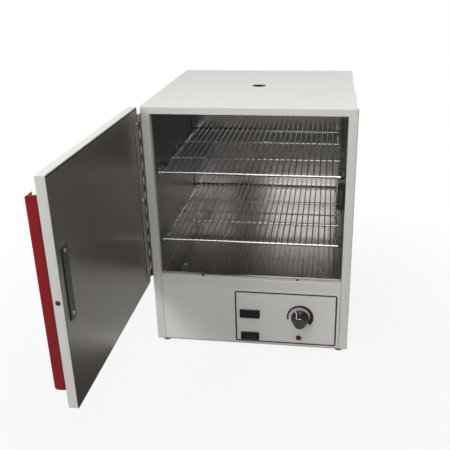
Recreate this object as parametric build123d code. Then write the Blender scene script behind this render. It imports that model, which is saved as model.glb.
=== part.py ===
from build123d import *
import math
import os

os.makedirs("parts", exist_ok=True)

# Cabinet: painted sheet steel, measured from the middle plane, the front face and the bench
cabinet_width = 337.0
cabinet_depth = 332.0
cabinet_height = 432.0
cabinet_sheet = 1.2
cabinet_bend = 2.5
stile_width = 14.5
top_rail_height = 12.5
frame_return = 9.0
rear_flange = 12.0
sill_height = 136.0
seam_gap = 0.3
beyond = 1.0  # how far a cutter passes the face that it opens

# Feet and base
foot_height = 8.0
foot_radius = 9.0
foot_tip_radius = 7.7
foot_tip_round = 1.0
foot_inset = 14.5
foot_recess_radius = 4.6
foot_recess_depth = 4.0
base_flange = 15.0
base_front_flange = 8.0
base_side_start = 12.0

# Chamber liner: thin stainless sheet
wall_space = 16.1
back_space = 42.0
ceiling_space = 14.0
floor_step = 1.0
liner_sheet = 0.8
liner_flange = 9.0
liner_bend = 2.0
sill_tab_front = 2.0
sill_tab_inset = 3.0
sill_tab_gap = 0.1
port_radius = 12.5
port_y = 173.0
sleeve_wall = 1.0

# Floor pan: loose tray with turned-up sides
pan_upstand_top = 209.5
pan_front = 12.0
pan_bend = 2.5
floor_screw_inset = 32.4
floor_screw_front = 41.0
floor_screw_back = 55.0

# Shelves: round wire, welded
shelf_heights = {"lower_shelf": 199.0, "upper_shelf": 319.0}
shelf_left_gap = 2.9
shelf_right_gap = 6.4
cross_rod_front = 13.0
cross_rod_back_gap = 7.0
middle_cross_rods = (97.0, 200.0)
cross_rod_radius = 2.4
side_rod_radius = 2.0
side_rod_inset = 2.4
shelf_wire_radius = 1.1
shelf_wire_pitch = 10.0
shelf_wire_margin = 9.5
shelf_weld = 0.2
rod_overhang = 4.0
shelf_wire_inset = 2.0

# Shelf clips: bent strip with a lower and an upper tab
clip_rows = (30.0, 155.0)
clip_width = 10.0
clip_sheet = 1.0
clip_reach = 12.0
clip_running_gap = 0.1
clip_headroom = 7.0
clip_corner = 2.0
clip_rivet_radius = 2.2
clip_rivet_height = 0.8

# Control panel
panel_gap = 0.6
overlay_thickness = 0.4
overlay_margin = 1.0
overlay_bottom = 11.5
overlay_top = 117.7
panel_bottom = 10.0
panel_return = 8.8
sill_bend = 1.5
overlay_corner = 1.5
cutout_gap = 0.3
sill_screw_x = 81.0
sill_screw_y = 5.6

# Display
display_x = -0.4
display_z = 69.0
display_size = (35.0, 16.8)
display_rim = 2.2
display_depth = 1.8
bezel_corner = 1.2
bezel_chamfer = 0.5
window_gap = 0.1
window_recess = 0.7
display_module_depth = 14.0

# Power rocker
rocker_x = -0.4
rocker_z = 24.6
rocker_size = (32.4, 15.4)
rocker_rim = 2.0
rocker_height = 2.0
rocker_body_depth = 20.0
rocker_back_wall = 8.0
rocker_wall = 0.3
rocker_tilt = 7.0
rocker_pivot_y = 3.4
rocker_pin_radius = 1.2
rocker_pin_seat = 0.5
rocker_foot = 3.0
rocker_crown = 0.4
rocker_side_lap = 1.0
rocker_gap = 0.3
blade_size = (0.8, 6.3)
blade_length = 8.0
blade_pitch = 8.0

# Thermostat and knob
knob_x = 86.8
knob_z = 67.6
knob_skirt_radius = 15.5
knob_grip_radius = 11.2
knob_height = 18.0
knob_standoff = 3.2
knob_cap_radius = 9.8
knob_cap_height = 2.6
knob_cap_rise = 0.6
knob_cap_chamfer = 0.6
knob_dish_radius = 60.0
knob_dish_depth = 0.5
knob_skirt_edge = 1.6
knob_cone_top = 5.6
knob_cone_overhang = 0.7
knob_grip_start = 7.0
knob_grip_taper = 0.5
knob_round = 0.8
knob_flutes = 20
flute_radius = 0.8
flute_offset = 0.3
flute_start = 8.0
pointer_angle = 120.0
pointer_width = 1.6
pointer_height = 0.3
pointer_start = 1.5
pointer_drop = 0.8
shaft_radius = 3.0
running_gap = 0.05
shaft_socket_depth = 10.0
shaft_bore_depth = 8.0
shaft_end_gap = 0.2
bushing_radius = 4.8
bushing_rise = 0.6
nut_across_flats = 14.0
nut_height = 2.0
thermostat_radius = 17.0
thermostat_depth = 23.0
thermostat_round = 2.0

# Pilot lamp
pilot_x = 84.7
pilot_z = 25.9
pilot_lens_radius = 3.9
pilot_bezel_radius = 4.9
pilot_bezel_height = 0.9
pilot_bezel_round = 0.4
pilot_lens_height = 2.4
pilot_lens_round = 1.6
pilot_body_depth = 18.0

# Door: painted pan with a stainless inner panel
hinge_forward = 2.0
door_start = 6.0
door_end_gap = 6.0
door_bottom = 127.0
door_face_offset = 2.0
door_thickness = 13.5
door_sheet = 1.0
door_panel_sheet = 0.8
door_bend = 1.6
door_rim_flange = 10.0
door_free_flange = 22.0
inner_panel_margin = 0.4
inner_panel_corner = 1.5

# Piano hinge
hinge_top_gap = 12.0
knuckle_radius = 1.7
knuckle_count = 22
knuckle_gap = 0.3
pin_radius = 0.9
leaf_thickness = 0.8
leaf_clear = 2.3
door_leaf_width = 25.0
cabinet_leaf_width = 16.0
leaf_screw_u = 13.0
leaf_screw_y = 8.0
leaf_screw_low = 17.0
leaf_screw_high = 14.0

# Pull channel on the door
handle_low_gap = 27.0
handle_high_gap = 23.0
handle_reach = 15.0
handle_sheet = 1.7
handle_flange = 31.0
handle_lip = 17.0
handle_bend = 3.2
handle_corner = 6.0
handle_screw_inset = 24.0
handle_screw_end_gap = 26.0

# Magnetic catch
catch_side_gap = 0.1
catch_width = 12.6
catch_depth = 8.2
catch_bottom = 268.5
catch_top = 311.8
catch_front = 0.6
catch_corner = 1.0
magnet_width = 6.5
magnet_seat = 6.0
magnet_height = 26.0
magnet_side = 2.0
strike_offset = 3.05
strike_width = 14.0
strike_thickness = 1.4
strike_margin = 8.0
strike_corner = 3.0
strike_screw_rows = (253.0, 335.0)
catch_gap = 0.3
edge_plug_z = 277.0
edge_plug_radius = 3.0
edge_plug_head = 1.0
edge_plug_round = 0.5
edge_plug_stem_radius = 1.65
edge_plug_stem_length = 3.0
edge_plug_pocket = 1.0

# Back
inlet_inset = 63.5
inlet_z = 52.0
inlet_flange_size = (50.0, 24.0)
inlet_flange_thickness = 2.6
inlet_flange_corner = 5.0
inlet_body_size = (27.4, 20.0)
inlet_cavity_size = (24.4, 16.8)
inlet_cavity_depth = 15.0
inlet_cavity_cut = 4.5
inlet_body_depth = 18.0
inlet_screw_spacing = 40.0
blade_pin_size = (2.0, 4.0)
blade_pin_spread = 7.0
blade_pin_drop = 1.5
blade_pin_length = 9.0
earth_pin_rise = 2.5
earth_pin_length = 10.0
vent_slot_size = (3.0, 22.0)
vent_slot_pitch = 8.0
vent_slots = 12
vent_x = 30.0
vent_z = 40.0
back_panel_margin = 1.0
back_cutout_gap = 0.2
back_screw_inset = 7.0
back_screw_low = 34.0
back_screw_high = 22.0
back_screw_rows = 4
back_screw_columns = (-100.0, 0.0, 100.0)

# Insulation, heater and compartment
insulation_gap = 0.3
side_insulation_drop = 1.0
shield_drop = 27.0
shield_sheet = 1.0
shield_flange = 12.0
heater_space = 11.0
back_insulation_gap = 10.0
shield_back_gap = 4.0
shield_front = 12.0
heater_x = 70.0
heater_width = 38.0
heater_thickness = 5.0
heater_corner = 4.0
heater_front = 24.0
heater_back_gap = 16.0
stud_inset = 10.0
stud_radius = 2.0
stud_gap = 0.5
safety_radius = 8.5
safety_height = 9.0
safety_y = 150.0
safety_flange_size = (26.0, 10.0)
safety_flange_sheet = 1.2
safety_flange_corner = 3.0
bulb_radius = 3.4
bulb_bottom = 190.0
bulb_length = 75.0
bulb_round = 1.5
capillary_radius = 1.0
capillary_bend = 30.0
capillary_drop = 9.0
terminal_position = (-60.0, 200.0)
terminal_size = (62.0, 22.0, 18.0)
terminal_ways = 5
terminal_well_radius = 3.2
terminal_well_depth = 5.0

# Screws
screw_hole_gap = 0.15
screw_head_round = 0.6  # share of the head's height
small_screw = {"head": 2.2, "rise": 1.2, "shank": 1.3, "length": 4.0}
panel_screw = {"head": 3.4, "rise": 1.9, "shank": 1.7, "length": 5.0}
floor_screw = {"head": 3.4, "rise": 1.8, "shank": 1.7, "length": 4.5}
leaf_screw = {"head": 3.0, "rise": 1.0, "shank": 1.5, "length": 4.5}
handle_screw = {"head": 3.4, "rise": 2.0, "shank": 1.9, "length": 6.0}
strike_screw = {"head": 3.0, "rise": 1.0, "shank": 1.5, "length": 5.0}
foot_screw = {"head": 3.8, "rise": 2.4, "shank": 2.0, "length": 9.0}
insulation_pocket = {"shank": 2.6, "length": 7.0}

# Sizes that follow from the ones above
half_width = cabinet_width / 2
half_opening = half_width - stile_width
half_chamber = half_width - wall_space
chamber_floor = sill_height + floor_step
chamber_back = cabinet_depth - back_space
chamber_ceiling = cabinet_height - ceiling_space
opening_top = cabinet_height - top_rail_height
wrapper_depth = cabinet_depth - cabinet_sheet
body_bottom = foot_height + cabinet_sheet + seam_gap
hinge_x = -half_width
hinge_y = -hinge_forward
door_inner = door_face_offset
door_outer_face = door_face_offset + door_thickness
handle_outer_face = door_outer_face + handle_reach
half_panel = half_opening - panel_gap
overlay_front = -overlay_thickness
pan_half = half_chamber - seam_gap
sleeve_radius = port_radius + sleeve_wall
open_reach = hinge_x - handle_outer_face
door_end = cabinet_width - door_end_gap
door_top = cabinet_height
hinge_bottom = sill_height
hinge_top = door_top - hinge_top_gap
handle_bottom = door_bottom + handle_low_gap
handle_top = door_top - handle_high_gap
shelf_left = -half_chamber + shelf_left_gap
shelf_right = half_chamber - shelf_right_gap
cross_rod_rows = (cross_rod_front, *middle_cross_rods, chamber_back - cross_rod_back_gap)
back_insulation_start = chamber_back + back_insulation_gap
shield_back = chamber_back - shield_back_gap
shield_height = chamber_floor - shield_drop
bottom_insulation_top = chamber_floor - heater_space
inlet_x = -half_width + inlet_inset
heater_ends = (heater_front, chamber_back - heater_back_gap)
catch_right = half_opening - catch_side_gap
origin_shift = -(open_reach + half_width) / 2
insulation_back = cabinet_depth - panel_screw["length"] - insulation_gap
rocker_cavity = tuple(side - 2 * (rocker_rim + rocker_wall) for side in rocker_size)
rocker_arc = rocker_cavity[0] / 2 - rocker_gap
leaf_inner = door_inner - leaf_thickness
strike_inner = door_inner - strike_thickness
catch_left = catch_right - catch_width
magnet_left = catch_left + magnet_side
magnet_middle = (catch_bottom + catch_top) / 2
magnet_front = hinge_y - strike_inner + catch_gap
strike_u = magnet_left + magnet_width / 2 - hinge_x - strike_offset
plug_middle = (door_inner + door_outer_face) / 2
bulb_y = chamber_back + liner_sheet + insulation_gap + bulb_radius


def block(x, y, z):
    """A box between the limits x, y and z, each given as (low, high)."""
    limits = (x, y, z)
    middle = [(low + high) / 2 for low, high in limits]
    return Pos(*middle) * Box(*[high - low for low, high in limits])


def framed(x, z, size, y):
    """A block of the given face size about a point of the panel, between two depths."""
    return block((x - size[0] / 2, x + size[0] / 2), y, (z - size[1] / 2, z + size[1] / 2))


def rod(start, end, radius):
    """A round bar between two points."""
    run = Vector(*end) - Vector(*start)
    return extrude(Plane(origin=start, z_dir=run) * Circle(radius), run.length)


def door_block(u, n, z):
    """A box on the open door: u from the hinge axis to the free edge, n from the inner to the outer side."""
    return block((hinge_x - n[1], hinge_x - n[0]), (hinge_y - u[1], hinge_y - u[0]), z)


def door_point(u, n, z):
    """A point on the open door."""
    return (hinge_x - n, hinge_y - u, z)


def pan_screw(seat, outward, size):
    """A screw whose head stands on the point seat and points outward."""
    head = Pos(0, 0, size["rise"] / 2) * Cylinder(size["head"], size["rise"])
    rim = head.edges().filter_by(GeomType.CIRCLE).sort_by(Axis.Z)[-1]
    head = fillet(rim, size["rise"] * screw_head_round)
    shank = Pos(0, 0, -size["length"] / 2) * Cylinder(size["shank"], size["length"])
    return Plane(origin=seat, z_dir=outward) * (head + shank)


def screw_hole(seat, outward, size):
    """The clearance hole of a screw through what lies under its head."""
    reach = size["length"] + screw_hole_gap
    bore = Pos(0, 0, -reach / 2) * Cylinder(size["shank"] + screw_hole_gap, reach)
    return Plane(origin=seat, z_dir=outward) * bore


def without(solid, cutters):
    """The solid with every cutter taken away."""
    for cutter in cutters:
        solid = solid - cutter
    return solid


def save(name, *solids):
    """Write one sub-part, moved so that the middle of the open warmer's outline is the origin."""
    placed = [Pos(origin_shift, 0, 0) * solid for solid in solids]
    shape = placed[0] if len(placed) == 1 else Compound(children=placed)
    export_step(shape, f"parts/{name}.step")


def bent_box(x, y, z, radius):
    """A box with its front upright edges and its top edges rounded, as sheet is bent round it."""
    box = block(x, y, z)
    bends = box.edges().filter_by(Axis.Z).group_by(Axis.Y)[0]
    bends += box.edges().filter_by(Axis.Y).group_by(Axis.Z)[-1]
    bends += box.edges().filter_by(Axis.X).group_by(Axis.Z)[-1].group_by(Axis.Y)[:1][0]
    return fillet(bends, radius)


def mirrored(value):
    """The value and its opposite."""
    return (-value, value)


def spaced(first, last, count):
    """Evenly spaced places from first to last."""
    return [first + index * (last - first) / (count - 1) for index in range(count)]


# Screw places, shared by the screws and by the sheets that they hold
UP = (0, 0, 1)
DOWN = (0, 0, -1)
FRONT = (0, -1, 0)
BACK = (0, 1, 0)
LEFT = (-1, 0, 0)
RIGHT = (1, 0, 0)

pan_floor = chamber_floor + seam_gap + liner_sheet
sill_seats = [(x, sill_screw_y, sill_height) for x in mirrored(sill_screw_x)]
floor_screw_rows = (floor_screw_front, chamber_back - floor_screw_back)
floor_screw_x = half_chamber - floor_screw_inset
floor_seats = [(x, y, pan_floor) for x in mirrored(floor_screw_x) for y in floor_screw_rows]
back_rows = spaced(back_screw_low, cabinet_height - back_screw_high, back_screw_rows)
back_seats = [(x, cabinet_depth, z) for x in mirrored(half_width - back_screw_inset) for z in back_rows]
back_seats += [(x, cabinet_depth, cabinet_height - back_screw_inset) for x in back_screw_columns]
back_seats += [(x, cabinet_depth, body_bottom + back_screw_inset) for x in back_screw_columns]
foot_places = [
    (x, y) for x in mirrored(half_width - foot_inset) for y in (foot_inset, cabinet_depth - foot_inset)
]
foot_seats = [(x, y, foot_recess_depth) for x, y in foot_places]
leaf_screw_rows = spaced(hinge_bottom + leaf_screw_low, hinge_top - leaf_screw_high, 3)
cabinet_leaf_seats = [(-half_width - leaf_thickness, leaf_screw_y, z) for z in leaf_screw_rows]
door_leaf_seats = [door_point(leaf_screw_u, leaf_inner, z) for z in leaf_screw_rows]
strike_seats = [door_point(strike_u, strike_inner, z) for z in strike_screw_rows]
handle_screw_rows = spaced(handle_bottom + handle_screw_end_gap, handle_top - handle_screw_end_gap, 3)
handle_screw_u = door_end - handle_screw_inset
handle_seats = [door_point(handle_screw_u, door_outer_face + handle_sheet, z) for z in handle_screw_rows]
inlet_outer = cabinet_depth + inlet_flange_thickness
inlet_seats = [(inlet_x + x, inlet_outer, inlet_z) for x in mirrored(inlet_screw_spacing / 2)]


def outer_wrapper():
    """Sides, top and front frame of one bent sheet, with returns round the opening and rear flanges."""
    heights = (body_bottom, cabinet_height)
    outside = bent_box((-half_width, half_width), (0, wrapper_depth), heights, cabinet_bend)
    inner_half = half_width - cabinet_sheet
    inside = bent_box(
        (-inner_half, inner_half),
        (cabinet_sheet, cabinet_depth),
        (0, cabinet_height - cabinet_sheet),
        cabinet_bend - cabinet_sheet,
    )
    wrapper = outside - inside
    wrapper -= block((-half_opening, half_opening), (-beyond, 2 * cabinet_sheet), (0, opening_top))
    for side in (-1, 1):
        edge = sorted((side * half_opening, side * (half_opening + cabinet_sheet)))
        wrapper += block(edge, (0, frame_return), (body_bottom, opening_top + cabinet_sheet))
    wrapper += block(
        (-half_opening, half_opening), (0, frame_return), (opening_top, opening_top + cabinet_sheet)
    )
    flange_y = (wrapper_depth - cabinet_sheet, wrapper_depth)
    flange = block((-inner_half, inner_half), flange_y, (body_bottom, cabinet_height - cabinet_sheet))
    flange_half = half_width - rear_flange
    flange -= block((-flange_half, flange_half), (0, cabinet_depth), (0, cabinet_height - rear_flange))
    wrapper += flange
    wrapper -= rod((0, port_y, 0), (0, port_y, 2 * cabinet_height), port_radius)
    holes = [screw_hole(seat, BACK, panel_screw) for seat in back_seats]
    holes += [screw_hole(seat, LEFT, leaf_screw) for seat in cabinet_leaf_seats]
    return without(wrapper, holes)


def base_pan():
    """Bottom plate with flanges turned up inside the wrapper, the front panel and the back panel."""
    plate_half = half_width - seam_gap
    top = foot_height + cabinet_sheet
    pan = block((-plate_half, plate_half), (seam_gap, cabinet_depth - seam_gap), (foot_height, top))
    flange_z = (foot_height, foot_height + base_flange)
    side = half_width - cabinet_sheet - seam_gap
    for edge in ((-side, -side + cabinet_sheet), (side - cabinet_sheet, side)):
        pan += block(edge, (base_side_start, cabinet_depth - rear_flange), flange_z)
    front = cabinet_sheet + seam_gap
    short_half = half_opening - 2 * cabinet_sheet
    front_z = (foot_height, foot_height + base_front_flange)
    pan += block((-short_half, short_half), (front, front + cabinet_sheet), front_z)
    back = wrapper_depth - seam_gap
    pan += block((-short_half, short_half), (back - cabinet_sheet, back), flange_z)
    holes = [screw_hole(seat, DOWN, foot_screw) for seat in foot_seats]
    holes += [screw_hole(seat, BACK, panel_screw) for seat in back_seats]
    return without(pan, holes)


def rubber_feet():
    """Four tapered feet, each with a recess for its screw."""
    feet = []
    for x, y in foot_places:
        foot = Pos(x, y, foot_height / 2) * Cone(foot_tip_radius, foot_radius, foot_height)
        foot = fillet(foot.edges().filter_by(GeomType.CIRCLE).sort_by(Axis.Z)[0], foot_tip_round)
        foot -= Pos(x, y, foot_recess_depth / 2) * Cylinder(foot_recess_radius, foot_recess_depth)
        foot -= screw_hole((x, y, foot_recess_depth), DOWN, foot_screw)
        feet.append(foot)
    return feet


def control_panel():
    """Lower front panel, bent back at the top as the sill of the chamber and at the sides for stiffness."""
    panel = block((-half_panel, half_panel), (0, panel_return), (panel_bottom, sill_height))
    panel = fillet(panel.edges().filter_by(Axis.X).group_by(Axis.Z)[-1].group_by(Axis.Y)[0], sill_bend)
    panel -= block(
        (-half_panel + cabinet_sheet, half_panel - cabinet_sheet),
        (cabinet_sheet, panel_return + beyond),
        (panel_bottom - beyond, sill_height - cabinet_sheet),
    )
    cutters = [panel_cutout(*opening) for opening in panel_openings()]
    cutters += [rod((x, -beyond, z), (x, panel_return, z), radius) for x, z, radius in panel_bores()]
    cutters += [screw_hole(seat, UP, small_screw) for seat in sill_seats]
    return without(panel, cutters)


def panel_openings():
    """Rectangular cut-outs of the panel and its overlay: middle x, middle z, width and height."""
    openings = ((display_x, display_z, display_opening()), (rocker_x, rocker_z, rocker_body_size()))
    return [(x, z, size[0] + 2 * cutout_gap, size[1] + 2 * cutout_gap) for x, z, size in openings]


def panel_cutout(x, z, width, height):
    """A cutter through the panel for one rectangular opening."""
    return framed(x, z, (width, height), (-2 * beyond, panel_return - beyond))


def panel_bores():
    """Round holes of the panel and its overlay: x, z and radius."""
    return [
        (knob_x, knob_z, bushing_radius + screw_hole_gap),
        (pilot_x, pilot_z, pilot_lens_radius + screw_hole_gap),
    ]


def panel_overlay():
    """Thin printed film on the front of the control panel."""
    half = half_panel - overlay_margin
    film = block((-half, half), (overlay_front, 0), (overlay_bottom, overlay_top))
    film = fillet(film.edges().filter_by(Axis.Y), overlay_corner)
    cutters = [panel_cutout(*opening) for opening in panel_openings()]
    cutters += [rod((x, -beyond, z), (x, beyond, z), radius) for x, z, radius in panel_bores()]
    return without(film, cutters)


def chamber_liner():
    """Stainless box open at the front, with flanges behind the front frame and a tab under the sill."""
    outer_half = half_chamber + liner_sheet
    front = frame_return + seam_gap
    outside = block(
        (-outer_half, outer_half),
        (front, chamber_back + liner_sheet),
        (chamber_floor - liner_sheet, chamber_ceiling + liner_sheet),
    )
    inside = block((-half_chamber, half_chamber), (0, chamber_back), (chamber_floor, chamber_ceiling))
    inside = fillet(inside.edges().filter_by(Axis.Y) + inside.edges().group_by(Axis.Y)[-1], liner_bend)
    outside = fillet(
        outside.edges().filter_by(Axis.Y) + outside.edges().group_by(Axis.Y)[-1], liner_bend + liner_sheet
    )
    liner = outside - inside
    flange_half = outer_half + liner_flange
    tab_top = sill_height - cabinet_sheet - sill_tab_gap
    flange = block(
        (-flange_half, flange_half),
        (front, front + liner_sheet),
        (tab_top - liner_sheet, chamber_ceiling + liner_sheet + liner_flange),
    )
    flange -= block(
        (-half_chamber, half_chamber), (0, cabinet_depth), (chamber_floor - liner_sheet, chamber_ceiling)
    )
    liner += flange
    tab_half = half_panel - sill_tab_inset
    tab_y = (sill_tab_front, front + liner_sheet)
    liner += block((-tab_half, tab_half), tab_y, (tab_top - liner_sheet, tab_top))
    liner -= rod((0, port_y, chamber_ceiling - beyond), (0, port_y, cabinet_height), port_radius)
    holes = [screw_hole(seat, UP, small_screw) for seat in sill_seats]
    holes += [screw_hole(seat, UP, floor_screw) for seat in floor_seats]
    return without(liner, holes)


def tray_bends(box):
    """The bent edges of a tray with an open front: its lower side and back edges and its rear uprights."""
    bends = box.edges().filter_by(Axis.Z).group_by(Axis.Y)[-1]
    bends += box.edges().filter_by(Axis.Y).group_by(Axis.Z)[0]
    return bends + box.edges().filter_by(Axis.X).group_by(Axis.Z)[0].group_by(Axis.Y)[-1]


def floor_pan():
    """Loose stainless tray on the chamber floor, turned up along the sides and the back."""
    bottom = chamber_floor + seam_gap
    back = chamber_back - seam_gap
    tray = block((-pan_half, pan_half), (pan_front, back), (bottom, pan_upstand_top))
    tray = fillet(tray_bends(tray), pan_bend)
    hollow = block(
        (-pan_half + liner_sheet, pan_half - liner_sheet),
        (0, back - liner_sheet),
        (pan_floor, pan_upstand_top + beyond),
    )
    hollow = fillet(tray_bends(hollow), pan_bend - liner_sheet)
    return without(tray - hollow, [screw_hole(seat, UP, floor_screw) for seat in floor_seats])


def wire_shelf(height):
    """Cross rods on two side rods, with thin wires welded over the cross rods."""
    side_z = height - cross_rod_radius - side_rod_radius + shelf_weld
    wire_z = height + cross_rod_radius + shelf_wire_radius - shelf_weld
    front = cross_rod_rows[0] - rod_overhang
    back = cross_rod_rows[-1] + rod_overhang
    side_rods = [
        rod((x, front, side_z), (x, back, side_z), side_rod_radius)
        for x in (shelf_left + side_rod_inset, shelf_right - side_rod_inset)
    ]
    cross_rods = [
        rod((shelf_left, y, height), (shelf_right, y, height), cross_rod_radius) for y in cross_rod_rows
    ]
    span = shelf_right - shelf_left - 2 * shelf_wire_margin
    count = int(span / shelf_wire_pitch) + 1
    first = (shelf_left + shelf_right - (count - 1) * shelf_wire_pitch) / 2
    places = [first + index * shelf_wire_pitch for index in range(count)]
    ends = (front + shelf_wire_inset, back - shelf_wire_inset)
    wires = [rod((x, ends[0], wire_z), (x, ends[1], wire_z), shelf_wire_radius) for x in places]
    return cross_rods[0].fuse(*cross_rods[1:], *side_rods, *wires)


def shelf_clip(side, wall, y, height):
    """A bent strip on a side wall: the lower tab carries the shelf's side rod, the upper keeps it down."""
    low = height - cross_rod_radius - 2 * side_rod_radius + shelf_weld - clip_running_gap
    high = height + clip_headroom
    across = (y - clip_width / 2, y + clip_width / 2)

    def strip(depth, z):
        """A piece of the strip, reaching depth from the wall."""
        return block(sorted((side * wall, side * (wall - depth))), across, z)

    clip = strip(clip_sheet, (low - clip_sheet, high + clip_sheet))
    clip += strip(clip_reach, (low - clip_sheet, low))
    clip += strip(clip_reach, (high, high + clip_sheet))
    corners = clip.edges().filter_by(Axis.Z).sort_by(lambda edge: side * edge.center().X)[:4]
    clip = fillet(corners, clip_corner)
    middle = (low + high) / 2
    start = side * (wall - clip_sheet)
    end = side * (wall - clip_sheet - clip_rivet_height)
    return clip + rod((start, y, middle), (end, y, middle), clip_rivet_radius)


def shelf_clips(height):
    """The four clips of one shelf, on the liner or on the floor pan's sides where these are behind them."""
    wall = half_chamber if height > pan_upstand_top else pan_half - liner_sheet
    return [shelf_clip(side, wall, y, height) for side in (-1, 1) for y in clip_rows]


def port_sleeve():
    """Tube between the chamber ceiling and the top panel."""
    low = chamber_ceiling + liner_sheet
    high = cabinet_height - cabinet_sheet
    return rod((0, port_y, low), (0, port_y, high), sleeve_radius) - rod(
        (0, port_y, low - beyond), (0, port_y, high + beyond), port_radius
    )


def side_insulation():
    """Glass-fibre pads between the liner and the sides of the wrapper."""
    near = half_chamber + liner_sheet + insulation_gap
    far = half_width - cabinet_sheet - insulation_gap
    front = frame_return + seam_gap + liner_sheet + insulation_gap
    low = shield_height + shield_sheet + insulation_gap
    high = cabinet_height - cabinet_sheet - insulation_gap - side_insulation_drop
    return [
        block(sorted((side * near, side * far)), (front, insulation_back), (low, high)) for side in (-1, 1)
    ]


def top_insulation():
    """Pad over the chamber ceiling, cut round the port sleeve."""
    half = half_chamber + liner_sheet
    front = frame_return + seam_gap + liner_sheet + insulation_gap
    pad = block(
        (-half, half),
        (front, back_insulation_start - insulation_gap),
        (chamber_ceiling + liner_sheet + insulation_gap, cabinet_height - cabinet_sheet - insulation_gap),
    )
    return pad - rod((0, port_y, 0), (0, port_y, cabinet_height), sleeve_radius + insulation_gap)


def back_insulation():
    """Pad behind the chamber."""
    half = half_chamber + liner_sheet
    return block(
        (-half, half),
        (back_insulation_start, insulation_back),
        (shield_height + shield_sheet + insulation_gap, cabinet_height - cabinet_sheet - insulation_gap),
    )


def bottom_insulation():
    """Pad on the shield, under the heater strips."""
    half = half_chamber + liner_sheet
    low = shield_height + shield_sheet + insulation_gap
    return block((-half, half), (shield_front, shield_back), (low, bottom_insulation_top))


def compartment_shield():
    """Plate that carries the bottom insulation and keeps the heat from the controls."""
    half = half_width - cabinet_sheet - seam_gap
    low = shield_height - shield_flange
    shield = block((-half, half), (shield_front, shield_back), (low, shield_height + shield_sheet))
    inner = half - shield_sheet
    return shield - block((-inner, inner), (0, cabinet_depth), (0, shield_height))


def heater_strips():
    """Two flat strip heaters against the underside of the chamber floor, each with two terminal studs."""
    top = chamber_floor - liner_sheet
    strips = []
    for x in mirrored(heater_x):
        across = (x - heater_width / 2, x + heater_width / 2)
        strip = block(across, heater_ends, (top - heater_thickness, top))
        strip = fillet(strip.edges().filter_by(Axis.Z), heater_corner)
        for offset in mirrored(heater_width / 4):
            stud_y = heater_ends[1] - stud_inset
            start = (x + offset, stud_y, top - heater_thickness)
            strip += rod(start, (x + offset, stud_y, bottom_insulation_top + stud_gap), stud_radius)
        strips.append(strip)
    return strips


def safety_thermostat():
    """Disc thermostat against the chamber floor, with a fixing flange."""
    top = chamber_floor - liner_sheet
    low = top - safety_height
    body = rod((0, safety_y, low), (0, safety_y, top), safety_radius)
    half_width_of_flange, half_depth = safety_flange_size[0] / 2, safety_flange_size[1] / 2
    across = (-half_width_of_flange, half_width_of_flange)
    flange = block(across, (safety_y - half_depth, safety_y + half_depth), (top - safety_flange_sheet, top))
    return body + fillet(flange.edges().filter_by(Axis.Z), safety_flange_corner)


def thermostat_body():
    """Capillary thermostat behind the panel, with its bushing through the panel."""
    back = cabinet_sheet
    body = rod((knob_x, back, knob_z), (knob_x, back + thermostat_depth, knob_z), thermostat_radius)
    body = fillet(body.edges().filter_by(GeomType.CIRCLE).sort_by(Axis.Y)[-1], thermostat_round)
    bushing_front = overlay_front - nut_height - bushing_rise
    body += rod((knob_x, bushing_front, knob_z), (knob_x, back, knob_z), bushing_radius)
    bore_end = back + shaft_bore_depth
    bore_start = overlay_front - knob_standoff
    return body - rod((knob_x, bore_start, knob_z), (knob_x, bore_end, knob_z), shaft_radius + running_gap)


def thermostat_nut():
    """Hexagon nut that clamps the bushing to the panel."""
    front = Plane(origin=(knob_x, overlay_front, knob_z), x_dir=RIGHT, z_dir=FRONT)
    radius = nut_across_flats / 2 / math.cos(math.pi / 6)
    nut = extrude(front * RegularPolygon(radius, 6), nut_height)
    return nut - rod((knob_x, -knob_height, knob_z), (knob_x, 0, knob_z), bushing_radius + screw_hole_gap)


def knob_plane():
    """The knob's own frame: x to the right, y up and z out of the panel, from the back of the skirt."""
    return Plane(origin=(knob_x, overlay_front - knob_standoff, knob_z), x_dir=RIGHT, z_dir=FRONT)


def knob_outline(growth):
    """Half section of the knob, grown outwards by growth."""
    skirt = knob_skirt_radius + growth
    grip = knob_grip_radius + growth
    return [
        (0, 0),
        (skirt, 0),
        (skirt, knob_skirt_edge + growth),
        (grip + knob_cone_overhang, knob_cone_top + growth),
        (grip, knob_grip_start + growth),
        (grip - knob_grip_taper, knob_height + growth),
        (0, knob_height + growth),
    ]


def knob_form(growth):
    """The knob's turned form."""
    section = make_face(Plane.XZ * Polyline(*knob_outline(growth), close=True))
    return revolve(section, Axis.Z)


def knob_body():
    """Black skirted knob with a fluted grip, a recess for the cap and a blind bore for the shaft."""
    form = knob_form(0)
    form = fillet(form.edges().filter_by(GeomType.CIRCLE).sort_by(Axis.Z)[-1], knob_round)
    recess = knob_cap_height - knob_cap_rise
    form -= Pos(0, 0, knob_height - recess / 2) * Cylinder(knob_cap_radius + running_gap, recess)
    form -= Pos(0, 0, shaft_socket_depth / 2) * Cylinder(shaft_radius + running_gap, shaft_socket_depth)
    flute_place = Pos(knob_grip_radius + flute_offset, 0, (knob_height + flute_start) / 2)
    groove = flute_place * Cylinder(flute_radius, knob_height - flute_start)
    grooves = [Rot(0, 0, 360 * (index + 0.5) / knob_flutes) * groove for index in range(knob_flutes)]
    return knob_plane() * without(form, grooves)


def knob_cap():
    """Spun metal disc set into the knob's face, dished in the middle."""
    low = knob_height - knob_cap_height + knob_cap_rise
    cap = Pos(0, 0, low + knob_cap_height / 2) * Cylinder(knob_cap_radius, knob_cap_height)
    cap = chamfer(cap.edges().filter_by(GeomType.CIRCLE).sort_by(Axis.Z)[-1], knob_cap_chamfer)
    cap -= Pos(0, 0, low + knob_cap_height + knob_dish_radius - knob_dish_depth) * Sphere(knob_dish_radius)
    return knob_plane() * cap


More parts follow.
